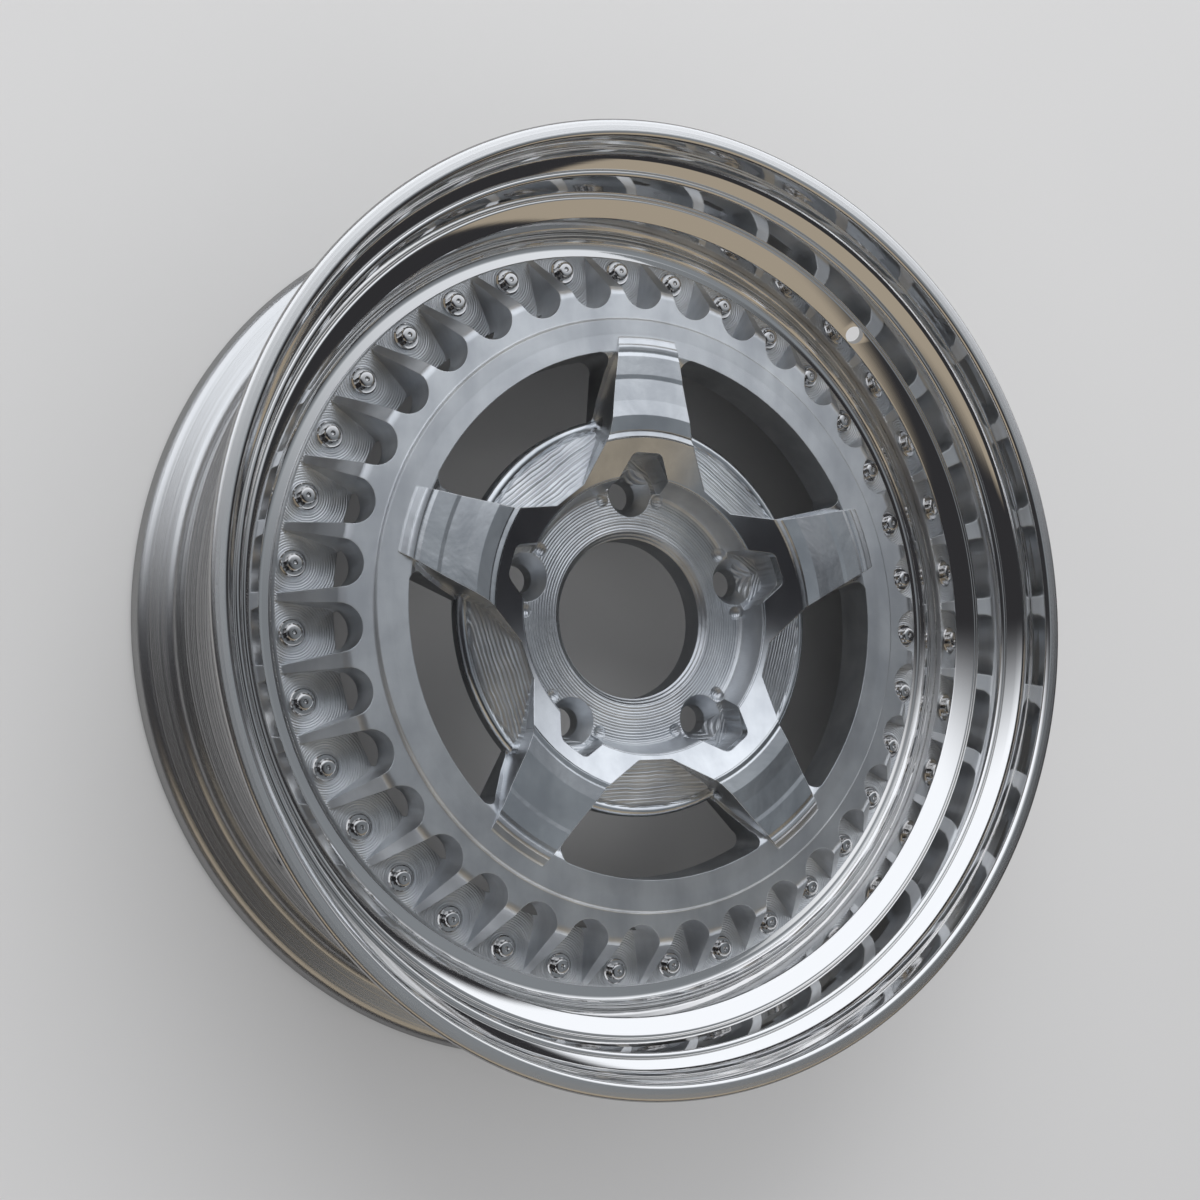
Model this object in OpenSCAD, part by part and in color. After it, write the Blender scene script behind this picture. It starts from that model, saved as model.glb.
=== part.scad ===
// Three-piece split rim wheel, 15 inch, five spoke machined centre.
// Millimetres. The axis is Z, z = 0 is the hub mounting face,
// the face of the wheel looks along +Z and the first spoke points along +Y.

/* [Rim] */
// diameter over the rim flanges, front and rear
flange_d = 415; // [380:1:460]
// height of the rim flange over the bead seat
flange_h = 17.4; // [12:0.1:20]
// diameter of the tyre bead seats
bead_d = flange_d - 2 * flange_h;
// height of the front edge of the lip over the hub face
lip_front_z = 69.2; // [50:0.1:120]
// depth of the rear edge of the barrel under the hub face
barrel_back = 65; // [40:1:200]
// inner radius of the lip wall beside the assembly bolts
lip_wall_r = 176; // [172:0.5:182]
// wall thickness of lip and barrel
rim_wall = 4; // [3:0.1:6]
// thickness of each of the two bolted rim flanges
joint_t = 5; // [3:0.1:8]
// inner radius of the two bolted rim flanges
joint_r = 150; // [146:0.5:153]

/* [Lip step] */
// outer radius of the conical step in the lip
step_r = 186; // [182:0.5:190]
// height of the step at its outer radius
step_z = 33.5; // [28:0.1:40]
// inner radius of the conical step
step_in_r = 177.6; // [174:0.1:182]
// drop of the step from its outer to its inner radius
step_drop = 5.5; // [2:0.1:9]
// diameter of the valve holes
valve_d = 8.3; // [6:0.1:12]
// direction of the valve hole in the lip, degrees from +X
valve_angle = 49; // [0:1:359]
// direction of the valve hole in the barrel
rear_valve_angle = 213.5; // [0:0.5:359]

/* [Assembly bolts] */
// number of assembly bolts
bolt_n = 35; // [20:1:50]
// radius of the assembly bolt circle
bolt_r = 159.3; // [155:0.1:163]
// shank diameter
bolt_d = 6; // [5:0.5:8]
// diameter of the holes for the shank
bolt_hole_d = 6.4; // [5.2:0.1:9]
// diameter of the round flange under the bolt head
bolt_flange_d = 11.4; // [9:0.1:14]
// width of the twelve point head across its points
bolt_head_d = 7.6; // [6:0.1:10]
// height of the bolt over its seat
bolt_h = 4.6; // [3:0.1:9]
// width of the nuts across the flats
nut_af = 9; // [8:0.5:13]
// height of the nuts
nut_h = 6; // [4:0.1:9]

/* [Centre] */
// radius of the outer edge of the centre
centre_r = 166.5; // [160:0.5:172]
// height of the bolt seats
seat_z = 10.4; // [8:0.1:16]
// height of the rim flange face the centre lies on
joint_z = 6.4; // [4:0.1:9]
// height of the ring face around the windows
ring_z = 35; // [28:0.5:45]
// radius of the bend where the ring turns down to the edge
bend_r = 143; // [138:0.5:148]
// radius of the rear shoulder in the bolted flange
shoulder_r = 141; // [136:0.5:148]
// height of the rear face of spokes and ring
rear_z = 15; // [8:0.5:20]

/* [Pockets] */
// distance from an assembly bolt to the inner end of its pocket
pocket_l = 22.5; // [18:0.1:28]
// inner radius of the pockets round the assembly bolts
pocket_in_r = bolt_r - pocket_l;
// radius of the round inner end of a pocket
pocket_end_r = 9.9; // [7:0.1:11]
// opening angle of each pocket side
pocket_flare = 9.6; // [4:0.1:12]

/* [Windows] */
// width of the ring between windows and pockets
ring_w = 19.4; // [14:0.1:26]
// outer radius of the five windows
window_r = pocket_in_r - ring_w;
// radius of the disc that closes the windows inside
disc_r = 90; // [82:0.5:98]
// half width of the solid strip behind a spoke at the outer radius
strip_out = 18.3; // [14:0.1:24]
// half width of the solid strip behind a spoke at the disc
strip_in = 21.4; // [16:0.1:28]
// corner radius of the windows
window_c = 4.5; // [2:0.1:8]

/* [Spokes] */
// number of spokes, wheel bolts and windows
spoke_n = 5; // [3:1:8]
// distance of the spoke tip from the axis
spoke_tip_r = 124.2; // [110:0.1:130]
// half width of a spoke at its tip
spoke_tip_w = 14.6; // [10:0.1:20]
// half width of a spoke at the outer edge of the hub pad
spoke_root_w = 20.6; // [16:0.1:28]
// height of the spoke top
spoke_z = 36.8; // [30:0.1:46]

/* [Hub] */
// centre bore
bore_d = 73.1; // [54:0.1:110]
// pitch circle of the wheel bolts
lug_pcd = 114.3; // [98:0.1:130]
// diameter of the wheel bolt holes
lug_d = 13.4; // [11:0.1:16]
// diameter of the mouth of the conical wheel bolt seats
lug_seat_d = 22; // [18:0.1:26]
// radius of the hub mounting face
hub_face_r = 78; // [70:0.5:90]
// height of the floor of the hub recess
recess_z = 14.5; // [10:0.1:20]
// radius of the recess at the edge of the pad
recess_r = 61.8; // [58:0.1:66]
// outer radius of the conical hub pad
pad_r = 78.7; // [74:0.1:84]
// height of the pad at its inner and at its outer edge
pad_z = [28, 35.4];
// distance of the flats between the spokes from the axis
valley_r = 64.6; // [62:0.1:70]

/* [Hidden] */
$fn = 120;
flange_r = flange_d / 2;
seat_r = bead_d / 2;
joint_mid_z = joint_z - joint_t;
joint_back_z = joint_z - 2 * joint_t;
spoke_a = 360 / spoke_n;
alloy = [0.80, 0.81, 0.83];
polished = [0.86, 0.87, 0.88];
brushed = [0.70, 0.71, 0.73];
chrome = [0.75, 0.76, 0.78];
steel = [0.55, 0.56, 0.58];
sealant = [0.62, 0.62, 0.60];

// which node to show

// points of an arc from angle a to angle b
function arc(c, r, a, b, n = 8) =
    [for (i = [0:n]) let (t = a + (b - a) * i / n) [c[0] + r * cos(t), c[1] + r * sin(t)]];
// a point on a line through p and q at radius r
function on_line(p, q, r) = [r, p[1] + (q[1] - p[1]) * (r - p[0]) / (q[0] - p[0])];

// height of a point that lies h over the rear edge of the barrel
function back(h) = h - barrel_back;
module around(n, first = 90) {
    for (i = [0:n - 1]) rotate(first - i * 360 / n) children();
}

// outer surface of the lip, from the joint up to the flange
function lip_outside() = concat(
    [[lip_wall_r - 4, joint_mid_z], [lip_wall_r + 0.6, joint_mid_z + 2.2]],
    arc([lip_wall_r - 1, joint_z + 3.4], 5.6, -35, 0, 4),
    [[lip_wall_r + rim_wall + 0.6, step_z - step_drop - 6],
     [step_in_r + rim_wall + 0.4, step_z - step_drop - 4.2],
     [seat_r - 0.6, step_z - 4.6],
     [seat_r + 1.1, step_z - 2.6], [seat_r + 1.2, step_z - 1.6], [seat_r, step_z + 1],
     [seat_r + 0.4, step_z + 7.6]],
    arc([seat_r + 7.4, step_z + 7.6], 7, 176, 128, 5),
    [[seat_r + 8.6, step_z + 16.4]],
    arc([flange_r - 9.6, step_z + 27], 6.4, -30, 12, 5),
    [[flange_r - 2.2, lip_front_z - 6.3], [flange_r - 0.6, lip_front_z - 5.6]]);

// visible surface of the lip, from the flange edge in to the joint
function lip_inside() = concat(
    arc([flange_r - 1.8, lip_front_z - 1.9], 1.8, -20, 88, 7),
    [[flange_r - 4.2, lip_front_z - 0.15]],
    arc([flange_r - 5.1, lip_front_z - 2.6], 2.4, 88, 172, 6),
    [[flange_r - 7.7, lip_front_z - 6.5], [flange_r - 7.9, lip_front_z - 9.0]],
    arc([flange_r - 17.6, lip_front_z - 11.4], 9.6, 6, -46, 9),
    arc([step_r + 5.9, step_z + 13.0], 2.0, 52, 154, 7),
    [[step_r + 2.2, step_z + 5.6]],
    arc([step_r - 0.9, step_z - 0.6], 1.3, 20, 124, 6),
    arc([step_in_r + 1.4, step_z - step_drop - 0.35], 1.4, 124, 176, 5),
    [[lip_wall_r + 0.6, joint_z + 14]],
    arc([lip_wall_r - 6, joint_z + 6], 6, 0, -90, 12),
    [[joint_r, joint_z], [joint_r, joint_mid_z]]);

module lip_profile() {
    difference() {
        polygon(concat(lip_outside(), lip_inside()));
        // fine grooves in the fillet at the foot of the wall
        for (t = [-18, -40, -62])
            translate([lip_wall_r - 6 + 6 * cos(t), joint_z + 6 + 6 * sin(t)]) circle(r = 0.4, $fn = 24);
    }
}

module outer_lip() {
    color(polished) difference() {
        rotate_extrude($fn = 180) lip_profile();
        around(bolt_n) translate([bolt_r, 0, joint_mid_z - 1]) cylinder(d = bolt_hole_d, h = joint_t + 2, $fn = 32);
        rotate(valve_angle) translate([step_r - 4.2, 0, step_z - step_drop / 2])
            rotate([0, -33, 0]) cylinder(d = valve_d, h = 24, center = true, $fn = 48);
    }
}

// outer surface of the barrel, from the joint back to the rear edge
function barrel_outside() = concat(
    [[lip_wall_r - 4, joint_mid_z], [lip_wall_r + 0.6, joint_mid_z - 2.2]],
    arc([lip_wall_r - 1, joint_back_z - 3.4], 5.6, 35, 0, 4),
    [[lip_wall_r + rim_wall + 0.4, joint_back_z - 5.2]],
    arc([lip_wall_r + 3.6, joint_back_z - 11.4], 3, 160, 200, 4),
    [[seat_r - 1.4, back(33.8)], [seat_r + 1.2, back(30.6)], [seat_r + 1.3, back(29.4)], [seat_r, back(26.5)],
     [seat_r + 0.1, back(17.6)]],
    arc([seat_r + 6.6, back(16.6)], 6.4, 174, 250, 7),
    [[flange_r - 6.2, back(10.3)]],
    arc([flange_r - 6.4, back(3.8)], 6.4, 84, 10, 8),
    [[flange_r, back(2)]],
    arc([flange_r - 1.6, back(1.6)], 1.6, 0, -90, 5));

// brake side of the barrel, from the rear edge in to the joint
function barrel_inside() = concat(
    [[flange_r - 3.4, back(0)]],
    arc([flange_r - 5.2, back(2.6)], 2.6, -60, -160, 5),
    [[flange_r - 9.4, back(5.6)], [flange_r - 16.2, back(6.6)]],
    arc([seat_r + 0.6, back(12)], 4.8, 250, 178, 6),
    [[seat_r - rim_wall, back(30.4)], [lip_wall_r - 3, joint_back_z - 13]],
    arc([lip_wall_r + 2.2, joint_back_z - 10.8], 6, 208, 165, 4),
    [[lip_wall_r - 0.6, joint_back_z - 6.2]],
    arc([lip_wall_r - 3.6, joint_back_z - 3], 3, 0, 90, 6),
    [[joint_r, joint_back_z], [joint_r, joint_mid_z]]);

module inner_barrel() {
    color(brushed) difference() {
        rotate_extrude($fn = 180) polygon(concat(barrel_outside(), barrel_inside()));
        around(bolt_n) translate([bolt_r, 0, joint_back_z - 1]) cylinder(d = bolt_hole_d, h = joint_t + 2, $fn = 32);
        rotate(rear_valve_angle) translate([seat_r - 6.7, 0, back(39.6)])
            rotate([0, 54, 0]) cylinder(d = valve_d, h = 18, center = true, $fn = 48);
    }
}

// bead of sealant in the groove between the two rim flanges
module joint_sealant() {
    color(sealant) rotate_extrude($fn = 180) polygon(concat(
        [[lip_wall_r - 3.8, joint_mid_z], [lip_wall_r + 0.6, joint_mid_z + 2.1], [lip_wall_r + 2.6, joint_mid_z + 3.9]],
        arc([lip_wall_r - 1.6, joint_mid_z], 5.6, 42, -42, 8),
        [[lip_wall_r + 2.6, joint_mid_z - 3.9], [lip_wall_r + 0.6, joint_mid_z - 2.1]]));
}

// profile of the ring and the disc before spokes, windows and pockets
module body_profile() {
    polygon(concat(
        [[bore_d / 2, 0], [hub_face_r, 0], [hub_face_r + 9, rear_z],
         [shoulder_r, rear_z], [shoulder_r, joint_z], [centre_r - 0.6, joint_z], [centre_r, joint_z + 0.6]],
        arc([centre_r - 1.4, seat_z - 1.1], 1.4, 0, 78, 4),
        // the bend is round and the slope below it straight
        arc([bend_r - 0.6, ring_z - 1.5 - 6.4], 6.4, 46, 90, 7),
        [[bend_r - 9.6, ring_z - 1.5]],
        arc([bend_r - 10.4, ring_z - 0.7], 0.8, 270, 180, 4),
        [[bend_r - 12, ring_z], [window_r + 7, ring_z - 0.1], [window_r - 0.6, ring_z], [window_r - 2.4, ring_z - 0.6],
         [window_r - 8, ring_z - 5], [disc_r + 9, ring_z - 11], [disc_r + 2.4, recess_z + 7.2]],
        // rounded bead on the edge of the disc
        arc([disc_r - 2.6, recess_z + 4.6], 2.6, 10, 130, 8),
        [[disc_r - 5, recess_z + 6.2], [disc_r - 5.6, recess_z + 7.6],
         [valley_r + 0.2, pad_z[0] - 0.6], [recess_r, pad_z[0] - 0.6],
         [recess_r - 3.2, recess_z + 2.8]],
        arc([recess_r - 6.4, recess_z + 3], 3, -14, -90, 6),
        [[bore_d / 2 + 3.2, recess_z], [bore_d / 2, recess_z - 3.2]]));
}

// outline of the star pad with its spokes, seen from the face
module star_plan() {
    // half length of the flat between two spokes
    flat = 8.5;
    a = spoke_a / 2;
    root = [[pad_r + 6, spoke_root_w - 0.6], [pad_r - 0.6, spoke_root_w + 0.6],
            [valley_r * cos(a) + flat * sin(a), valley_r * sin(a) - flat * cos(a)]];
    side = concat(arc([spoke_tip_r - 3, spoke_tip_w - 3], 3, 0, 82, 5), root);
    // one spoke from its lower valley over the tip to its upper valley
    arm = concat([for (i = [len(side) - 1:-1:0]) [side[i][0], -side[i][1]]], side);
    polygon([for (k = [0:spoke_n - 1]) let (t = 90 + k * spoke_a) for (q = arm)
        [q[0] * cos(t) - q[1] * sin(t), q[0] * sin(t) + q[1] * cos(t)]]);
}

// top of spokes and pad: dished pad, thin ledge, long shallow scoop and rolled tip
module star_profile() {
    polygon(concat(
        [[recess_r + 0.3, rear_z + 1], on_line([recess_r, pad_z[0]], [pad_r, pad_z[1]], recess_r + 0.3),
         [pad_r, pad_z[1]], [pad_r + 0.5, pad_z[1] + 0.5], [pad_r + 2.6, pad_z[1] + 0.3],
         [pad_r + 3.2, pad_z[1] + 0.9], [pad_r + 9.6, spoke_z + 0.4], [spoke_tip_r - 29.2, spoke_z - 0.1],
         [spoke_tip_r - 19.7, spoke_z - 0.5], [spoke_tip_r - 17.8, spoke_z - 0.2], [spoke_tip_r - 9.6, spoke_z - 0.1], [spoke_tip_r - 8, spoke_z - 0.5]],
        arc([spoke_tip_r - 5.6, spoke_z - 2.2], 2.0, 100, 40, 5),
        [[spoke_tip_r - 2, spoke_z - 1.3]],
        arc([spoke_tip_r - 1.9, spoke_z - 3.2], 1.9, 84, 10, 5),
        [[spoke_tip_r + 0.4, rear_z + 1]]));
}

// strip of solid metal left behind every spoke between two windows
module strip_plan(grow = 0) {
    for (s = [1, -1]) mirror([0, s < 0 ? 1 : 0, 0])
        polygon([[disc_r - 14, 0], [disc_r - 14, strip_in + 2 + grow], [disc_r - 3, strip_in + grow],
                 [window_r - 2, strip_out + grow], [window_r + 8, strip_out - 1.2 + grow], [window_r + 8, 0]]);
}

module ring_sector(r0, r1) {
    difference() {
        circle(r = r1, $fn = 180);
        circle(r = r0, $fn = 180);
    }
}

// the five windows, each with round outer corners
module window_plan() {
    // place of a corner circle that touches the outer arc and the strip
    cy = strip_out + window_c + 0.35;
    cx = sqrt(pow(window_r - window_c, 2) - cy * cy);
    difference() {
        ring_sector(disc_r, window_r - window_c);
        around(spoke_n) strip_plan();
    }
    difference() {
        ring_sector(window_r - window_c - 1, window_r);
        around(spoke_n) strip_plan(window_c + 0.3);
    }
    around(spoke_n) for (s = [1, -1]) translate([cx, s * cy]) circle(r = window_c, $fn = 40);
}

// pocket round one assembly bolt, open to the rim
module pocket() {
    c = pocket_in_r + pocket_end_r;
    w = pocket_end_r * cos(pocket_flare);
    x = c - pocket_end_r * sin(pocket_flare);
    far = centre_r + 6;
    reach = w + (far - x) * tan(pocket_flare);
    linear_extrude(30) {
        translate([c, 0]) circle(r = pocket_end_r, $fn = 64);
        polygon([[x, -w], [far, -reach], [far, reach], [x, w]]);
    }
}

// notch in the pad in front of one wheel bolt
module lug_notch() {
    corner = 4;
    lug_r = lug_pcd / 2;
    end_x = lug_r + 15.15;
    half = concat(arc([end_x - corner, 4.6], corner, 0, 68, 5), [[lug_r + 1.85, 13.6], [lug_r - 0.15, 14.4]]);
    linear_extrude(30) polygon(concat([for (i = [len(half) - 1:-1:0]) [half[i][0], -half[i][1]]], half));
}

// hole with conical seat for one wheel bolt
module lug_hole() {
    seat_h = (lug_seat_d - lug_d) / 2 / tan(30);
    over = 3;
    translate([0, 0, -2]) cylinder(d = lug_d, h = recess_z, $fn = 60);
    translate([0, 0, recess_z - seat_h])
        cylinder(d1 = lug_d, d2 = lug_seat_d + 2 * over * tan(30), h = seat_h + over, $fn = 60);
}

module wheel_centre() {
    color(alloy) difference() {
        union() {
            difference() {
                rotate_extrude($fn = 180) body_profile();
                translate([0, 0, rear_z - 2]) linear_extrude(40) window_plan();
            }
            intersection() {
                rotate_extrude($fn = 180) star_profile();
                translate([0, 0, rear_z]) linear_extrude(30) star_plan();
            }
        }
        // pockets down to the bolt seats
        around(bolt_n) translate([0, 0, seat_z]) pocket();
        around(bolt_n) translate([bolt_r, 0, 0]) cylinder(d = bolt_hole_d, h = seat_z + 4, $fn = 32);
        around(spoke_n) {
            translate([0, 0, recess_z]) lug_notch();
            translate([lug_pcd / 2, 0, 0]) lug_hole();
            // round dimples on both sides of every wheel bolt
            for (s = [1, -1]) rotate(s * 15) translate([lug_pcd / 2 - 2.15, 0, recess_z + 1.6]) sphere(r = 3.4, $fn = 40);
        }
    }
}

module assembly_bolt() {
    head_z = seat_z + 1.5;
    // dished round flange
    rotate_extrude($fn = 48) polygon([[0, seat_z], [bolt_flange_d / 2 - 0.3, seat_z], [bolt_flange_d / 2, seat_z + 0.3],
        [bolt_flange_d / 2, seat_z + 0.9], [bolt_flange_d / 2 - 0.5, seat_z + 1.4], [bolt_flange_d / 2 - 1.1, seat_z + 1.3],
        [bolt_head_d / 2 - 0.2, head_z - 0.1], [bolt_head_d / 2 - 0.2, head_z + 0.3], [0, head_z + 0.3]]);
    // twelve point head, domed on top, with a centre dimple
    intersection() {
        translate([0, 0, head_z - 0.2]) linear_extrude(bolt_h) {
            circle(d = bolt_head_d, $fn = 6);
            rotate(30) circle(d = bolt_head_d, $fn = 6);
        }
        rotate_extrude($fn = 48) polygon(concat(
            [[0, head_z - 1], [bolt_head_d / 2 + 0.2, head_z - 1], [bolt_head_d / 2 + 0.2, seat_z + bolt_h - 0.9]],
            arc([bolt_head_d / 2 - 1.4, seat_z + bolt_h - 1.5], 1.5, 20, 90, 3),
            [[1.1, seat_z + bolt_h], [0.7, seat_z + bolt_h - 0.5], [0, seat_z + bolt_h - 0.6]]));
    }
    translate([0, 0, joint_back_z - nut_h - 1.2]) cylinder(d = bolt_d, h = seat_z - joint_back_z + nut_h + 1.4, $fn = 32);
}

module assembly_bolts() {
    color(chrome) around(bolt_n) translate([bolt_r, 0, 0]) assembly_bolt();
}

module assembly_nut() {
    difference() {
        union() {
            translate([0, 0, joint_back_z - nut_h]) cylinder(d = nut_af / cos(30), h = nut_h - 0.6, $fn = 6);
            translate([0, 0, joint_back_z - 1]) cylinder(d = nut_af + 1.8, h = 1, $fn = 40);
        }
        translate([0, 0, joint_back_z - nut_h - 1]) cylinder(d = bolt_d, h = nut_h + 2, $fn = 32);
    }
}

module assembly_nuts() {
    color(steel) around(bolt_n) translate([bolt_r, 0, 0]) assembly_nut();
}

outer_lip();
inner_barrel();
wheel_centre();
joint_sealant();
assembly_bolts();
assembly_nuts();
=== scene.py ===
from math import cos, pi, radians, sin, sqrt

import bpy
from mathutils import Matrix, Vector


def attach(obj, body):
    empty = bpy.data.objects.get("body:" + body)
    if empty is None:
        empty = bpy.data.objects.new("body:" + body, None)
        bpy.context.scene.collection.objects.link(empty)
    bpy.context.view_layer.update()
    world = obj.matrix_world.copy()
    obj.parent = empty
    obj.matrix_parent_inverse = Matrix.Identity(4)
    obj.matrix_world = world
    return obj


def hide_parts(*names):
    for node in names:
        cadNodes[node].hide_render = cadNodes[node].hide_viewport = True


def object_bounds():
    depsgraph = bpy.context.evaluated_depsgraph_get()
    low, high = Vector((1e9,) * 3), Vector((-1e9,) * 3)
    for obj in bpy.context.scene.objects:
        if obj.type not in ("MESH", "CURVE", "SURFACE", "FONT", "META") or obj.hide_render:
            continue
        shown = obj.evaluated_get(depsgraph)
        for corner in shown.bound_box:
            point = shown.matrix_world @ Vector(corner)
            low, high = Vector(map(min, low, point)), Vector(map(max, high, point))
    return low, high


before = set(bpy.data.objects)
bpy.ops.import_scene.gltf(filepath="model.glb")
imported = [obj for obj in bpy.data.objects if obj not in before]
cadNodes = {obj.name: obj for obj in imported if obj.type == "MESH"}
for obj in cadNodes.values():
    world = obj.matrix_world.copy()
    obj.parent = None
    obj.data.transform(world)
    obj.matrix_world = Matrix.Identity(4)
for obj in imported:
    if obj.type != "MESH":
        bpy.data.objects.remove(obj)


def boxAsLists(box):
    return [[round(v, 5) for v in corner] for corner in box]


cadBox = boxAsLists(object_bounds())
bpy.ops.object.select_all(action="DESELECT")
print("frame loaded:", sorted(cadNodes))

# camera at the viewing angle of the photograph; the wheel lies flat, so it looks down and is turned
cameraSetup = {
    "place": (-0.35813, -0.05992, 0.63763),
    "turn": (2.8824, -28.4983, -2.3156),
    "lens": 47.513,
    "shift": (-0.00054, 0.08517),
    "clipStart": 0.01,
}
bpy.ops.object.camera_add(
    location=cameraSetup["place"],
    rotation=[radians(a) for a in cameraSetup["turn"]],
)
camera = bpy.context.object
camera.name = "photoCamera"
camera.data.lens = cameraSetup["lens"]
camera.data.shift_x, camera.data.shift_y = cameraSetup["shift"]
camera.data.clip_start = cameraSetup["clipStart"]
bpy.context.scene.camera = camera
bpy.context.scene.view_settings.view_transform = "Standard"
print("camera ready")


# node helpers; an input goes by its name, with _ for a space, or by i and its number
def addNode(tree, kind, settings=None, **inputs):
    node = tree.nodes.new(kind)
    for name, value in (settings or {}).items():
        setattr(node, name, value)
    for name, value in inputs.items():
        byNumber = name[0] == "i" and name[1:].isdigit()
        socket = node.inputs[int(name[1:]) if byNumber else name.replace("_", " ")]
        if isinstance(value, bpy.types.NodeSocket):
            tree.links.new(value, socket)
        else:
            socket.default_value = value
    return node


def addMath(tree, operation, *values):
    inputs = {f"i{n}": value for n, value in enumerate(values)}
    return addNode(tree, "ShaderNodeMath", {"operation": operation}, **inputs).outputs[0]


def addStep(tree, value, low, high):
    smooth = {"interpolation_type": "SMOOTHSTEP"}
    return addNode(tree, "ShaderNodeMapRange", smooth, Value=value, From_Min=low, From_Max=high).outputs[0]


def addLength(tree, a, b):
    squares = addMath(tree, "ADD", addMath(tree, "MULTIPLY", a, a), addMath(tree, "MULTIPLY", b, b))
    return addMath(tree, "SQRT", squares)


def addColourMix(tree, factor, a, b):
    return addNode(tree, "ShaderNodeMix", {"data_type": "RGBA"}, i0=factor, i6=a, i7=b).outputs[2]


def addNoise(tree, place, scale, detail, **more):
    noise = addNode(tree, "ShaderNodeTexNoise", Vector=place, Scale=scale, Detail=detail, **more)
    return noise.outputs["Fac"]


def objectPlace(tree):
    return addNode(tree, "ShaderNodeTexCoord").outputs["Object"]


def newGroup(name, inputs, outputs):
    group = bpy.data.node_groups.new(name, "ShaderNodeTree")
    for label, value in inputs.items():
        socket = group.interface.new_socket(label, in_out="INPUT", socket_type="NodeSocketFloat")
        socket.default_value = value
    for label in outputs:
        group.interface.new_socket(label, in_out="OUTPUT", socket_type="NodeSocketFloat")
    given, put = group.nodes.new("NodeGroupInput"), group.nodes.new("NodeGroupOutput")
    return group, given.outputs, put.inputs


def newMaterial(name, **values):
    material = bpy.data.materials.new(name)
    material.use_nodes = True
    shader = material.node_tree.nodes["Principled BSDF"]
    for key, value in values.items():
        shader.inputs[key.replace("_", " ")].default_value = value
    return material, material.node_tree, shader


def setMaterial(piece, material):
    piece.data.materials.clear()
    piece.data.materials.append(material)


# turned pieces; their outlines are in millimetres, as radius and height
def arcPoints(centre, radius, fromAngle, toAngle, count):
    angles = [radians(fromAngle + (toAngle - fromAngle) * i / count) for i in range(count + 1)]
    return [(centre[0] + radius * cos(a), centre[1] + radius * sin(a)) for a in angles]


def groovedArc(centre, radius, fromAngle, toAngle, count, grooves, grooveRadius):
    points = []
    for i in range(count + 1):
        angle = fromAngle + (toAngle - fromAngle) * i / count
        away = min(abs(radians(angle - g)) * radius for g in grooves)
        depth = sqrt(grooveRadius ** 2 - away ** 2) if away < grooveRadius else 0
        reach = radius + depth
        points.append((centre[0] + reach * cos(radians(angle)), centre[1] + reach * sin(radians(angle))))
    return points


turning = {"steps": 240, "smoothAngle": 32, "mergeGap": 1e-6, "drillSides": 32}


def turnedPiece(name, outline):
    points = [(x / 1000, z / 1000) for x, z in outline]
    bpy.ops.object.select_all(action="DESELECT")
    # one point, drawn out along the outline
    bpy.ops.mesh.primitive_plane_add(size=0.001, location=(0, 0, 0))
    piece = bpy.context.object
    piece.name = name
    bpy.ops.object.mode_set(mode="EDIT")
    bpy.ops.mesh.select_all(action="SELECT")
    bpy.ops.mesh.merge(type="CENTER")
    bpy.ops.transform.translate(value=(points[0][0], 0, points[0][1]))
    for here, there in zip(points, points[1:] + points[:1]):
        move = (there[0] - here[0], 0, there[1] - here[1])
        bpy.ops.mesh.extrude_region_move(TRANSFORM_OT_translate={"value": move})
    bpy.ops.mesh.select_all(action="SELECT")
    bpy.ops.mesh.remove_doubles(threshold=turning["mergeGap"])
    bpy.ops.mesh.spin(steps=turning["steps"], angle=2 * pi, center=(0, 0, 0), axis=(0, 0, 1))
    bpy.ops.mesh.select_all(action="SELECT")
    bpy.ops.mesh.remove_doubles(threshold=turning["mergeGap"])
    bpy.ops.mesh.normals_make_consistent(inside=False)
    bpy.ops.object.mode_set(mode="OBJECT")
    return piece


# each hole is its place, turn, width and depth
def drillHoles(piece, holes):
    bpy.ops.object.select_all(action="DESELECT")
    drills = []
    for place, turn, width, depth in holes:
        bpy.ops.mesh.primitive_cylinder_add(
            vertices=turning["drillSides"],
            radius=width / 2000,
            depth=depth / 1000,
            location=[v / 1000 for v in place],
            rotation=turn,
        )
        drills.append(bpy.context.object)
    for drill in drills:
        drill.select_set(True)
    bpy.ops.object.join()
    drill = bpy.context.object
    bpy.ops.object.select_all(action="DESELECT")
    bpy.context.view_layer.objects.active = piece
    cut = piece.modifiers.new("holes", "BOOLEAN")
    cut.operation, cut.solver, cut.object = "DIFFERENCE", "EXACT", drill
    bpy.ops.object.modifier_apply(modifier=cut.name)
    bpy.data.objects.remove(drill)


def smoothShade(piece, angle):
    bpy.ops.object.select_all(action="DESELECT")
    bpy.context.view_layer.objects.active = piece
    piece.select_set(True)
    bpy.ops.object.shade_smooth_by_angle(angle=radians(angle))


# sizes that both rim halves share, in millimetres
rimSizes = {
    "flangeR": 207.5,
    "seatR": 190.1,
    "wallR": 176.0,
    "frontZ": 69.2,
    "stepR": 186.0,
    "stepInR": 177.6,
    "stepZ": 33.5,
    "stepDrop": 5.5,
    "jointR": 150.0,
    "jointZ": 6.4,
    "flangeThick": 5,
    "backZ": -65.0,
    "boltR": 159.3,
    "boltCount": 35,
    "boltHole": 6.4,
    "boltDrill": 9,
    "valveHole": 8.3,
}


def boltHoles(z):
    k = rimSizes
    turns = [radians(90 - 360 * i / k["boltCount"]) for i in range(k["boltCount"])]
    places = [(k["boltR"] * cos(t), k["boltR"] * sin(t), z) for t in turns]
    return [(place, (0, 0, t), k["boltHole"], k["boltDrill"]) for place, t in zip(places, turns)]


def valveHole(radius, z, angle, lean, drill):
    turn = radians(angle)
    place = (radius * cos(turn), radius * sin(turn), z)
    return [(place, (0, radians(lean), turn), rimSizes["valveHole"], drill)]


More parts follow.
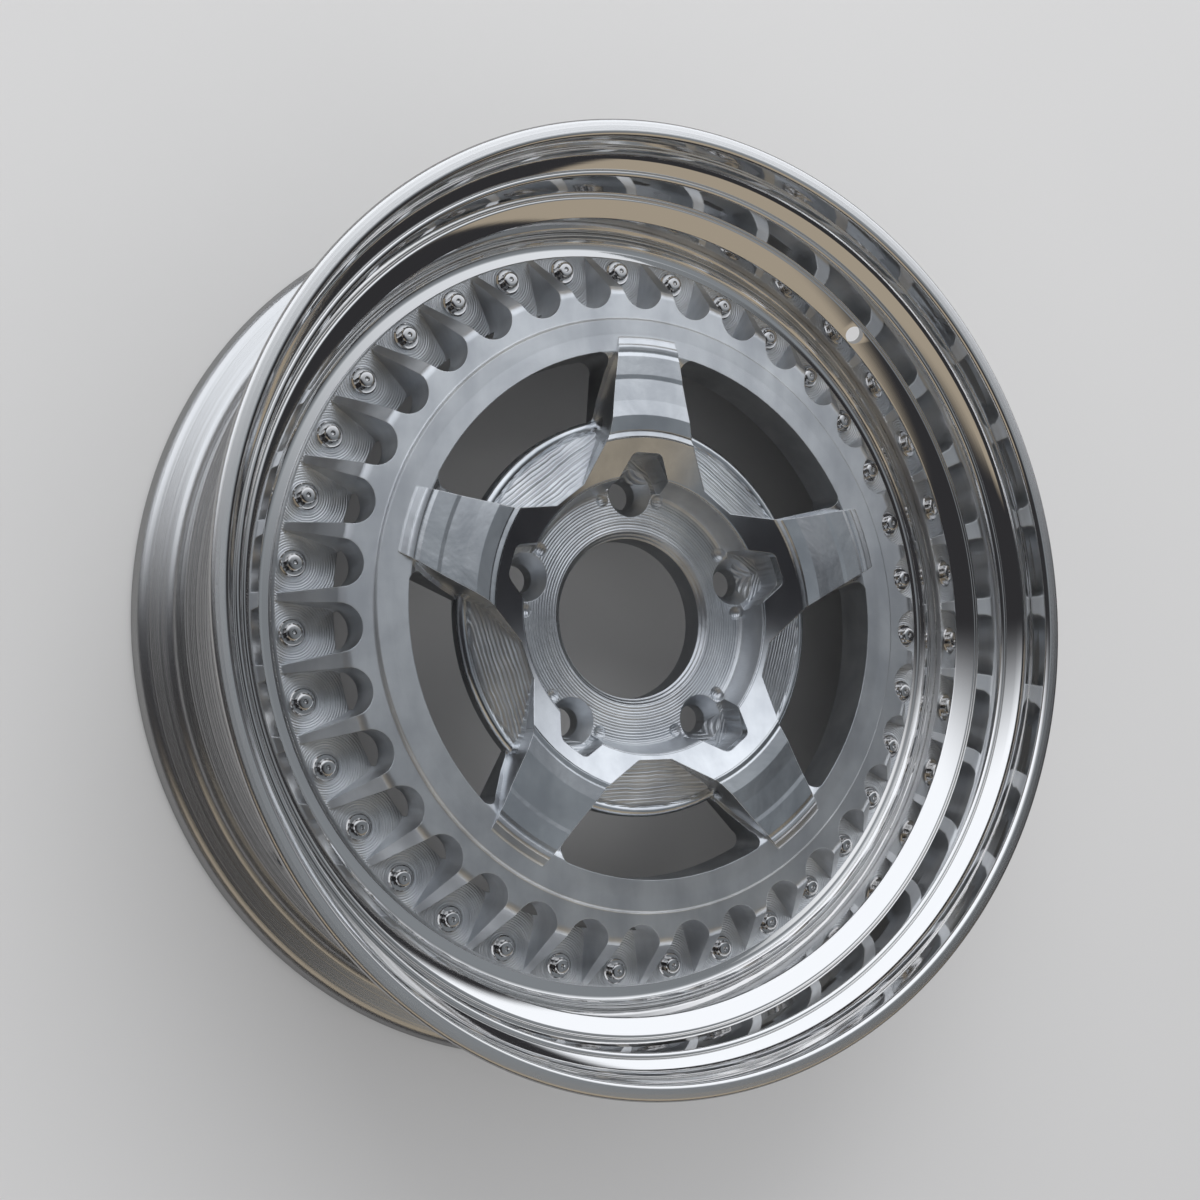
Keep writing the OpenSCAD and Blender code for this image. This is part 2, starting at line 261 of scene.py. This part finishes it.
def polishedLip():
    sizes = {
        "grooves": (-18, -40, -62),
        "grooveR": 0.4,
        "valveAngle": 49,
        "valveLean": -33,
        "valveInset": 4.2,
        "valveDrill": 24,
    }
    k = rimSizes
    edge, front, seat, wall = k["flangeR"], k["frontZ"], k["seatR"], k["wallR"]
    step, stepIn, high, low = k["stepR"], k["stepInR"], k["stepZ"], k["stepZ"] - k["stepDrop"]
    joint, back = k["jointZ"], k["jointZ"] - k["flangeThick"]
    # tyre side, from the joint up: sealant groove, well, hump, bead seat and back of the rim flange
    outside = (
        [(wall - 4, back), (wall + 0.6, joint - 2.8)]
        + arcPoints((wall - 1, joint + 3.4), 5.6, -35, 0, 8)
        + [(wall + 4.6, low - 6), (stepIn + 4.4, low - 4.2), (seat - 0.6, high - 4.6)]
        + [(seat + 1.1, high - 2.6), (seat + 1.2, high - 1.6), (seat, high + 1), (seat + 0.4, high + 7.6)]
        + arcPoints((seat + 7.4, high + 7.6), 7, 176, 128, 10)
        + [(seat + 8.6, high + 16.4)]
        + arcPoints((edge - 9.6, high + 27), 6.4, -30, 12, 9)
        + [(edge - 2.2, front - 6.3), (edge - 0.6, front - 5.6)]
    )
    # visible side, from the edge down: rolled edge, bowl, conical step, wall, grooved foot and joint
    inside = (
        arcPoints((edge - 1.8, front - 1.9), 1.8, -20, 88, 14)
        + [(edge - 4.2, front - 0.15)]
        + arcPoints((edge - 5.1, front - 2.6), 2.4, 88, 172, 14)
        + [(edge - 7.7, front - 6.5), (edge - 7.9, front - 9.0)]
        + arcPoints((edge - 17.6, front - 11.4), 9.6, 6, -46, 26)
        + arcPoints((step + 5.9, high + 13.0), 2.0, 52, 154, 14)
        + [(step + 2.2, high + 5.6)]
        + arcPoints((step - 0.9, high - 0.6), 1.3, 20, 124, 12)
        + arcPoints((stepIn + 1.4, low - 0.35), 1.4, 124, 176, 8)
        + [(wall + 0.6, joint + 14)]
        + groovedArc((wall - 6, joint + 6), 6, 0, -90, 90, sizes["grooves"], sizes["grooveR"])
        + [(k["jointR"], joint), (k["jointR"], back)]
    )
    lip = turnedPiece("polishedLip", outside + inside)
    valve = valveHole(
        step - sizes["valveInset"], high - k["stepDrop"] / 2,
        sizes["valveAngle"], sizes["valveLean"], sizes["valveDrill"],
    )
    drillHoles(lip, boltHoles(joint - k["flangeThick"] / 2) + valve)
    smoothShade(lip, turning["smoothAngle"])
    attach(lip, "root")
    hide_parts("outer_lip")
    return lip


def spunBarrel():
    sizes = {
        "valveAngle": 213.5,
        "valveLean": 54,
        "valveInset": 6.7,
        "valveRise": 39.6,
        "valveDrill": 18,
    }
    k = rimSizes
    edge, seat, wall, back = k["flangeR"], k["seatR"], k["wallR"], k["backZ"]
    joint = k["jointZ"] - 2 * k["flangeThick"]
    top = joint + k["flangeThick"]
    # tyre side, from the joint down: sealant groove, well, hump, bead seat and rim flange
    outside = (
        [(wall - 4, top), (wall + 0.6, joint + 2.8)]
        + arcPoints((wall - 1, joint - 3.4), 5.6, 35, 0, 8)
        + [(wall + 4.4, joint - 5.2)]
        + arcPoints((wall + 3.6, joint - 11.4), 3, 160, 200, 8)
        + [(seat - 1.4, back + 33.8), (seat + 1.2, back + 30.6), (seat + 1.3, back + 29.4)]
        + [(seat, back + 26.5), (seat + 0.1, back + 17.6)]
        + arcPoints((seat + 6.6, back + 16.6), 6.4, 174, 250, 16)
        + [(edge - 6.2, back + 10.3)]
        + arcPoints((edge - 6.4, back + 3.8), 6.4, 84, 10, 16)
        + [(edge, back + 2)]
        + arcPoints((edge - 1.6, back + 1.6), 1.6, 0, -90, 10)
    )
    # brake side, from the rear edge up to the joint
    inside = (
        [(edge - 3.4, back)]
        + arcPoints((edge - 5.2, back + 2.6), 2.6, -60, -160, 12)
        + [(edge - 9.4, back + 5.6), (edge - 16.2, back + 6.6)]
        + arcPoints((seat + 0.6, back + 12), 4.8, 250, 178, 12)
        + [(seat - 4, back + 30.4), (wall - 3, joint - 13)]
        + arcPoints((wall + 2.2, joint - 10.8), 6, 208, 165, 10)
        + [(wall - 0.6, joint - 6.2)]
        + arcPoints((wall - 3.6, joint - 3), 3, 0, 90, 12)
        + [(k["jointR"], joint), (k["jointR"], top)]
    )
    barrel = turnedPiece("spunBarrel", outside + inside)
    valve = valveHole(
        seat - sizes["valveInset"], back + sizes["valveRise"],
        sizes["valveAngle"], sizes["valveLean"], sizes["valveDrill"],
    )
    drillHoles(barrel, boltHoles(joint + k["flangeThick"] / 2) + valve)
    smoothShade(barrel, turning["smoothAngle"])
    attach(barrel, "root")
    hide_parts("inner_barrel")
    return barrel


# smooth copy of a node, merged so that its curved faces shade as one; creases that run round
# the axis stay crisp between two radii and above a height, given in metres
def smoothCopy(name, node, angle, crease=None):
    merging = {"gap": 2e-6, "sameRadius": 4e-5}
    bpy.ops.object.select_all(action="DESELECT")
    source = cadNodes[node]
    bpy.context.view_layer.objects.active = source
    source.select_set(True)
    bpy.ops.object.duplicate()
    piece = bpy.context.object
    piece.name = name
    bpy.ops.mesh.customdata_custom_splitnormals_clear()
    bpy.ops.object.mode_set(mode="EDIT")
    bpy.ops.mesh.select_all(action="SELECT")
    bpy.ops.mesh.remove_doubles(threshold=merging["gap"])
    bpy.ops.object.mode_set(mode="OBJECT")
    smoothShade(piece, angle)
    if crease:
        near, far, floor = crease
        corners = [(Vector((v.co.x, v.co.y, 0)).length, v.co.z) for v in piece.data.vertices]
        for edge in piece.data.edges:
            (r0, z0), (r1, z1) = (corners[i] for i in edge.vertices)
            if near < r0 < far and min(z0, z1) > floor and abs(r0 - r1) < merging["sameRadius"]:
                edge.use_edge_sharp = True
    weigh = piece.modifiers.new("weigh", "WEIGHTED_NORMAL")
    weigh.keep_sharp = True
    bpy.ops.object.modifier_apply(modifier=weigh.name)
    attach(piece, "root")
    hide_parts(node)
    return piece


spokeCrease = (0.0775, 0.1275, 0.0345)
lipPiece = polishedLip()
barrelPiece = spunBarrel()
centrePiece = smoothCopy("machinedCentre", "wheel_centre", 24, spokeCrease)
boltPieces = smoothCopy("flangeBolts", "assembly_bolts", 35)
madePieces = (lipPiece, barrelPiece, centrePiece, boltPieces)
print("pieces made:", {p.name: len(p.data.polygons) for p in madePieces})


# fine lines left by turning, all round the axis
def turnedLinesGroup():
    look = {"roughness": 0.7, "driftScale": 9.0, "streakShare": 0.16}
    group, given, put = newGroup(
        "turnedLines", {"LinesPerMetre": 900.0, "Waviness": 0.3}, ("Lines", "Streaks", "Radius")
    )
    place = objectPlace(group)
    x, y, z = addNode(group, "ShaderNodeSeparateXYZ", Vector=place).outputs
    radius = addLength(group, x, y)
    rings = addNode(group, "ShaderNodeCombineXYZ", X=radius, Y=z, Z=0.0).outputs[0]
    fine = addNoise(group, rings, given["LinesPerMetre"], 3.0, Roughness=look["roughness"])
    # the same lines come and go a little on their way round
    drift = addMath(group, "SUBTRACT", addNoise(group, place, look["driftScale"], 2.0), 0.5)
    lines = addMath(group, "MULTIPLY_ADD", drift, given["Waviness"], fine)
    wide = addMath(group, "MULTIPLY", given["LinesPerMetre"], look["streakShare"])
    group.links.new(lines, put["Lines"])
    group.links.new(addNoise(group, rings, wide, 2.0), put["Streaks"])
    group.links.new(radius, put["Radius"])
    return group


# arcs left by an end mill, evenly spaced along one value, with some of them deeper
def millMarksGroup():
    look = {"driftScale": 70.0, "depthScale": 0.7, "depthRange": 1.2, "depthLeast": 0.2}
    group, given, put = newGroup(
        "millMarks", {"Along": 0.0, "Spacing": 0.001, "Wobble": 0.3}, ("Marks",)
    )
    drift = addMath(group, "SUBTRACT", addNoise(group, objectPlace(group), look["driftScale"], 2.0), 0.5)
    turns = addMath(group, "DIVIDE", given["Along"], given["Spacing"])
    turns = addMath(group, "MULTIPLY_ADD", drift, given["Wobble"], turns)
    sine = addMath(group, "SINE", addMath(group, "MULTIPLY", turns, 2 * pi))
    wave = addMath(group, "MULTIPLY_ADD", sine, 0.5, 0.5)
    along = addMath(group, "MULTIPLY", turns, look["depthScale"])
    uneven = addNode(group, "ShaderNodeTexNoise", {"noise_dimensions": "1D"}, W=along, Detail=1.0)
    depth = addMath(group, "MULTIPLY_ADD", uneven.outputs["Fac"], look["depthRange"], look["depthLeast"])
    group.links.new(addMath(group, "MULTIPLY", wave, depth), put["Marks"])
    return group


# where the tools worked on the centre, from the place on it
def centreZonesGroup():
    # each band from one radius to another, with the softness of its borders
    bands = {
        "floor": (0.0, 0.0625, 0.0004),
        "pad": (0.0613, 0.0799, 0.0003),
        "disc": (0.0625, 0.0860, 0.0003),
        "bead": (0.0847, 0.0905, 0.0003),
        "ring": (0.1170, 0.1660, 0.0005),
    }
    # where each value changes from no to yes
    steps = {
        "flat": (0.5, 0.75),
        "aboveDisc": (0.0275, 0.0278),
        "padHeight": (0.0277, 0.0280),
        "aboveSeats": (0.0108, 0.0113),
        "spokeHeight": (0.0352, 0.0356),
        "pastSpokes": (0.1240, 0.1246),
    }
    layout = {"boltR": 0.1593, "boltCount": 35, "firstBolt": 90, "valleyCount": 5, "firstValley": 54}
    names = (
        "Radius", "Floor", "Pad", "Disc", "Bead", "Ring", "Seats", "Walls",
        "SpokeTops", "Valley", "BoltDistance", "Down",
    )
    group, given, put = newGroup("centreZones", {}, names)
    coords = addNode(group, "ShaderNodeTexCoord").outputs
    x, y, z = addNode(group, "ShaderNodeSeparateXYZ", Vector=coords["Object"]).outputs
    normalZ = addNode(group, "ShaderNodeSeparateXYZ", Vector=coords["Normal"]).outputs[2]
    facing = addMath(group, "ABSOLUTE", normalZ)
    radius = addLength(group, x, y)
    angle = addMath(group, "ARCTAN2", y, x)

    def both(a, b):
        return addMath(group, "MULTIPLY", a, b)

    def no(a):
        return addMath(group, "SUBTRACT", 1.0, a)

    def within(low, high, soft):
        up = addStep(group, radius, low - soft, low + soft)
        down = addStep(group, radius, high - soft, high + soft)
        return both(up, no(down))

    def folded(parts, first):
        # angle from the nearest of so many directions, the first one at a given angle
        turn = addMath(group, "DIVIDE", addMath(group, "SUBTRACT", angle, radians(first)), 2 * pi / parts)
        turn = addMath(group, "SUBTRACT", turn, addMath(group, "ROUND", turn))
        return addMath(group, "MULTIPLY", turn, 2 * pi / parts)

    flat = addStep(group, facing, *steps["flat"])
    low = no(addStep(group, z, *steps["aboveDisc"]))
    toValley = folded(layout["valleyCount"], layout["firstValley"])
    toBolt = folded(layout["boltCount"], layout["firstBolt"])
    boltU = addMath(group, "SUBTRACT", both(radius, addMath(group, "COSINE", toBolt)), layout["boltR"])
    boltV = both(radius, addMath(group, "SINE", toBolt))
    values = {
        "Radius": radius,
        "Floor": both(flat, within(*bands["floor"])),
        "Pad": both(addStep(group, z, *steps["padHeight"]), within(*bands["pad"])),
        "Disc": both(low, within(*bands["disc"])),
        "Bead": both(low, within(*bands["bead"])),
        "Ring": both(flat, within(*bands["ring"])),
        "Seats": both(flat, no(addStep(group, z, *steps["aboveSeats"]))),
        "Walls": no(flat),
        "SpokeTops": both(
            addStep(group, z, *steps["spokeHeight"]),
            no(addStep(group, radius, *steps["pastSpokes"])),
        ),
        "Valley": both(radius, addMath(group, "COSINE", toValley)),
        "BoltDistance": addLength(group, boltU, boltV),
        "Down": z,
    }
    for name in names:
        group.links.new(values[name], put[name])
    return group


turnedLines = turnedLinesGroup()
millMarks = millMarksGroup()
centreZones = centreZonesGroup()


def addTurnedLines(tree, linesPerMetre, waviness):
    lines = {"LinesPerMetre": linesPerMetre, "Waviness": waviness}
    return addNode(tree, "ShaderNodeGroup", {"node_tree": turnedLines}, **lines).outputs


# polished lip with a satin band on its outer edge
def polishedAlloy():
    look = {
        "colour": (0.90, 0.89, 0.88, 1),
        "lines": 1500.0,
        "waviness": 0.2,
        "satinFrom": 0.2020,
        "satinTo": 0.2026,
        "smudgeScale": 28.0,
        "gloss": 0.02,
        "smudge": 0.05,
        "satin": 0.14,
        "satinStreaks": 0.15,
        "relief": 0.012,
        "satinRelief": 0.14,
        "depth": 0.0004,
    }
    material, tree, shader = newMaterial("polishedAlloy", Metallic=1.0, Base_Color=look["colour"])
    rings = addTurnedLines(tree, look["lines"], look["waviness"])
    satin = addStep(tree, rings["Radius"], look["satinFrom"], look["satinTo"])
    smudge = addNoise(tree, objectPlace(tree), look["smudgeScale"], 4.0)
    gloss = addMath(tree, "MULTIPLY_ADD", smudge, look["smudge"], look["gloss"])
    brushed = addMath(tree, "MULTIPLY_ADD", rings["Streaks"], look["satinStreaks"], look["satin"])
    rough = addMath(tree, "ADD", gloss, addMath(tree, "MULTIPLY", satin, brushed))
    tree.links.new(rough, shader.inputs["Roughness"])
    relief = addMath(tree, "MULTIPLY_ADD", satin, look["satinRelief"], look["relief"])
    bump = addNode(tree, "ShaderNodeBump", Strength=relief, Distance=look["depth"], Height=rings["Lines"])
    tree.links.new(bump.outputs["Normal"], shader.inputs["Normal"])
    return material


# bare spun barrel, brushed all round
def spunAlloy():
    look = {
        "colour": (0.78, 0.78, 0.78, 1),
        "lines": 1200.0,
        "waviness": 0.35,
        "rough": 0.14,
        "streaks": 0.18,
        "relief": 0.25,
        "depth": 0.0005,
    }
    material, tree, shader = newMaterial("spunAlloy", Metallic=1.0, Base_Color=look["colour"])
    rings = addTurnedLines(tree, look["lines"], look["waviness"])
    rough = addMath(tree, "MULTIPLY_ADD", rings["Streaks"], look["streaks"], look["rough"])
    tree.links.new(rough, shader.inputs["Roughness"])
    bump = addNode(
        tree, "ShaderNodeBump", Strength=look["relief"], Distance=look["depth"], Height=rings["Lines"]
    )
    tree.links.new(bump.outputs["Normal"], shader.inputs["Normal"])
    return material


# centre machined from solid: each zone keeps the marks of its own tool
def machinedAlloy():
    look = {
        "colour": (0.84, 0.86, 0.88, 1),
        "shade": (0.60, 0.62, 0.65, 1),
        "edge": 0.0005,
        "depth": 0.00018,
        "rough": 0.22,
        "cloudRough": 0.10,
        "swirl": 1.6,
        "patches": (0.5, 0.9),
    }
    # scale and detail of each pattern; for the turned lines, lines in a metre and waviness
    patterns = {
        "grain": (2600.0, 2.0),
        "cloud": (38.0, 4.0),
        "swirl": (26.0, 3.0),
        "lines": (1400.0, 0.4),
        "coarse": (420.0, 3.0),
        "speckle": (700.0, 2.0),
        "flutes": (900.0, 2.0),
        "streaks": (60.0, 5.0),
    }
    # satin where a mill ran, brighter where the surface was finished fine
    roughness = {
        "Ring": 0.10,
        "Pad": -0.13,
        "Bead": -0.12,
        "SpokeTops": -0.06,
        "Walls": 0.12,
        "Disc": 0.06,
        "Floor": 0.05,
    }
    # spacing in metres and wobble of the marks of each tool
    tools = {
        "Floor": (0.0013, 0.12),
        "Disc": (0.0017, 1.3),
        "Seats": (0.00105, 0.3),
        "Walls": (0.0032, 0.2),
    }
    material, tree, shader = newMaterial("machinedAlloy", Metallic=1.0, Base_Color=look["colour"])
    place = objectPlace(tree)
    zone = addNode(tree, "ShaderNodeGroup", {"node_tree": centreZones}).outputs

    def times(value, factor):
        return addMath(tree, "MULTIPLY", value, factor)

    def plus(value, factor, rest):
        return addMath(tree, "MULTIPLY_ADD", value, factor, rest)

    def marks(name, along):
        spacing, wobble = tools[name]
        values = {"Along": zone[along], "Spacing": spacing, "Wobble": wobble}
        return addNode(tree, "ShaderNodeGroup", {"node_tree": millMarks}, **values).outputs["Marks"]

    def stretched(pattern, stretch):
        vector = addNode(tree, "ShaderNodeMapping", Vector=place, Scale=stretch).outputs[0]
        return addNoise(tree, vector, *pattern)

    grain = addNoise(tree, place, *patterns["grain"])
    cloud = addNoise(tree, place, *patterns["cloud"])
    swirl = addNoise(tree, place, *patterns["swirl"], Distortion=look["swirl"])
    lines = addTurnedLines(tree, *patterns["lines"])["Lines"]
    coarse = addNoise(tree, place, *patterns["coarse"])
    speckle = addNoise(tree, place, *patterns["speckle"])
    flutes = stretched(patterns["flutes"], (1.0, 1.0, 0.04))
    heights = {
        "Floor": plus(marks("Floor", "Radius"), 1.0, times(coarse, 0.5)),
        "Disc": times(marks("Disc", "Valley"), 1.5),
        "Seats": marks("Seats", "BoltDistance"),
        "Walls": plus(flutes, 0.35, times(marks("Walls", "Down"), 0.08)),
        "Ring": plus(grain, 0.16, plus(cloud, 0.8, times(lines, 0.12))),
        "SpokeTops": plus(swirl, 1.4, times(speckle, 0.05)),
        "Bead": times(lines, 0.12),
    }
    height = times(grain, 0.03)
    for name, value in heights.items():
        height = addMath(tree, "ADD", height, times(zone[name], value))
    edge = addNode(tree, "ShaderNodeBevel", {"samples": 4}, Radius=look["edge"]).outputs["Normal"]
    bump = addNode(tree, "ShaderNodeBump", Strength=1.0, Distance=look["depth"], Height=height, Normal=edge)
    tree.links.new(bump.outputs["Normal"], shader.inputs["Normal"])
    rough = plus(cloud, look["cloudRough"], look["rough"])
    for name, change in roughness.items():
        rough = plus(zone[name], change, rough)
    tree.links.new(rough, shader.inputs["Roughness"])
    # patches where the metal was wiped or lightly scratched
    streaks = stretched(patterns["streaks"], (1.0, 0.25, 1.0))
    patches = plus(cloud, 0.6, plus(streaks, 0.5, times(swirl, 0.3)))
    tone = addStep(tree, patches, *look["patches"])
    tree.links.new(addColourMix(tree, tone, look["colour"], look["shade"]), shader.inputs["Base Color"])
    return material


def boltChrome():
    look = {
        "dull": (0.58, 0.57, 0.56, 1),
        "bright": (0.70, 0.70, 0.71, 1),
        "gloss": 0.04,
        "wear": 0.14,
        "wearScale": 220.0,
    }
    material, tree, shader = newMaterial("boltChrome", Metallic=1.0)
    wear = addNoise(tree, objectPlace(tree), look["wearScale"], 3.0)
    rough = addMath(tree, "MULTIPLY_ADD", wear, look["wear"], look["gloss"])
    tree.links.new(rough, shader.inputs["Roughness"])
    tree.links.new(addColourMix(tree, wear, look["dull"], look["bright"]), shader.inputs["Base Color"])
    return material


def nutZinc():
    look = {"colour": (0.55, 0.56, 0.58, 1), "rough": 0.28, "spangle": 0.3, "spangleScale": 700.0}
    material, tree, shader = newMaterial("nutZinc", Metallic=1.0, Base_Color=look["colour"])
    spangle = addNode(tree, "ShaderNodeTexVoronoi", Vector=objectPlace(tree), Scale=look["spangleScale"])
    rough = addMath(tree, "MULTIPLY_ADD", spangle.outputs["Distance"], look["spangle"], look["rough"])
    tree.links.new(rough, shader.inputs["Roughness"])
    return material


def sealantGrey():
    look = {
        "dark": (0.34, 0.34, 0.32, 1),
        "light": (0.46, 0.46, 0.44, 1),
        "rough": 0.7,
        "grainScale": 120.0,
        "relief": 0.3,
        "depth": 0.0006,
    }
    material, tree, shader = newMaterial("sealantGrey", Roughness=look["rough"])
    grain = addNoise(tree, objectPlace(tree), look["grainScale"], 4.0)
    tree.links.new(addColourMix(tree, grain, look["dark"], look["light"]), shader.inputs["Base Color"])
    bump = addNode(tree, "ShaderNodeBump", Strength=look["relief"], Distance=look["depth"], Height=grain)
    tree.links.new(bump.outputs["Normal"], shader.inputs["Normal"])
    return material


setMaterial(lipPiece, polishedAlloy())
setMaterial(barrelPiece, spunAlloy())
setMaterial(centrePiece, machinedAlloy())
setMaterial(boltPieces, boltChrome())
setMaterial(cadNodes["assembly_nuts"], nutZinc())
setMaterial(cadNodes["joint_sealant"], sealantGrey())
print("materials ready")


# plain pale floor
def paleFloor():
    look = {
        "radius": 7,
        "dark": (0.74, 0.74, 0.74, 1),
        "light": (0.78, 0.78, 0.78, 1),
        "paintedReflectionGrey": (0.34, 0.34, 0.34, 1),
        "rough": 0.85,
        "grainScale": 3.0,
    }
    bpy.ops.object.select_all(action="DESELECT")
    bpy.ops.mesh.primitive_circle_add(
        vertices=64, radius=look["radius"], fill_type="NGON", location=(0, 0, cadBox[0][2])
    )
    floor = bpy.context.object
    floor.name = "floor"
    bpy.ops.object.transform_apply(location=True)
    material, tree, shader = newMaterial("palePaper", Roughness=look["rough"])
    grain = addNoise(tree, objectPlace(tree), look["grainScale"], 3.0)
    paper = addColourMix(tree, grain, look["dark"], look["light"])
    # painted reflection: polished metal sees the paper in a darker grey than the camera does
    inMetal = addNode(tree, "ShaderNodeLightPath").outputs["Is Glossy Ray"]
    tree.links.new(addColourMix(tree, inMetal, paper, look["paintedReflectionGrey"]), shader.inputs["Base Color"])
    setMaterial(floor, material)


# one large soft panel beyond the top of the picture, which metal doesn't mirror
def topPanel():
    setup = {"place": (-0.2, 1.5, 1.3), "size": (1.8, 1.2), "watts": 16}
    bpy.ops.object.light_add(type="AREA", location=setup["place"])
    lamp = bpy.context.object
    lamp.name = "topPanel"
    lamp.data.shape = "RECTANGLE"
    lamp.data.size, lamp.data.size_y = setup["size"]
    lamp.data.energy = setup["watts"]
    lamp.rotation_euler = (-Vector(setup["place"])).to_track_quat("-Z", "Y").to_euler()
    lamp.visible_glossy = False


# plain room that only mirrored rays see; each tone begins and ends along a direction
def reflectionTent():
    dark = (0.03, 0.03, 0.033, 1)
    overhead = {"tone": (0.22, 0.24, 0.26, 1), "height": (0.62, 0.9), "right": (-0.1, 0.35)}
    wood = {"tone": (0.37, 0.32, 0.25, 1), "front": (0.26, 0.42), "foot": (0.385, 0.425), "top": (0.76, 0.86)}
    sky = {"tone": (1.02, 1.06, 1.12, 1), "rear": (0.08, 0.5), "foot": (0.17, 0.25)}
    bpy.ops.mesh.primitive_uv_sphere_add(segments=48, ring_count=24, radius=3)
    tent = bpy.context.object
    tent.name = "reflectionTent"
    material = bpy.data.materials.new("tentCloth")
    material.use_nodes = True
    tree = material.node_tree
    tree.nodes.clear()
    direction = addNode(tree, "ShaderNodeVectorMath", {"operation": "NORMALIZE"}, i0=objectPlace(tree))
    x, y, z = addNode(tree, "ShaderNodeSeparateXYZ", Vector=direction.outputs[0]).outputs

    def both(a, b):
        return addMath(tree, "MULTIPLY", a, b)

    ahead = addMath(tree, "MULTIPLY", y, -1.0)
    belowTop = addMath(tree, "SUBTRACT", 1.0, addStep(tree, z, *wood["top"]))
    inOverhead = both(addStep(tree, z, *overhead["height"]), addStep(tree, x, *overhead["right"]))
    inWood = both(both(addStep(tree, ahead, *wood["front"]), addStep(tree, z, *wood["foot"])), belowTop)
    inSky = both(addStep(tree, y, *sky["rear"]), addStep(tree, z, *sky["foot"]))
    colour = addColourMix(tree, inOverhead, dark, overhead["tone"])
    colour = addColourMix(tree, inWood, colour, wood["tone"])
    colour = addColourMix(tree, inSky, colour, sky["tone"])
    glow = addNode(tree, "ShaderNodeEmission", Color=colour, Strength=1.0)
    tree.links.new(glow.outputs[0], addNode(tree, "ShaderNodeOutputMaterial").inputs["Surface"])
    # found by the mirrored rays themselves, which keeps the render quick
    material.cycles.emission_sampling = "NONE"
    setMaterial(tent, material)
    tent.visible_camera = tent.visible_diffuse = tent.visible_shadow = tent.visible_transmission = False


# even light from all round, which metal doesn't mirror
def studioWorld():
    setup = {"Color": (0.9, 0.9, 0.91, 1), "Strength": 0.7}
    world = bpy.data.worlds.new("studio")
    world.use_nodes = True
    for name, value in setup.items():
        world.node_tree.nodes["Background"].inputs[name].default_value = value
    world.cycles_visibility.glossy = False
    bpy.context.scene.world = world


paleFloor()
topPanel()
reflectionTent()
studioWorld()
print("stage and light ready")
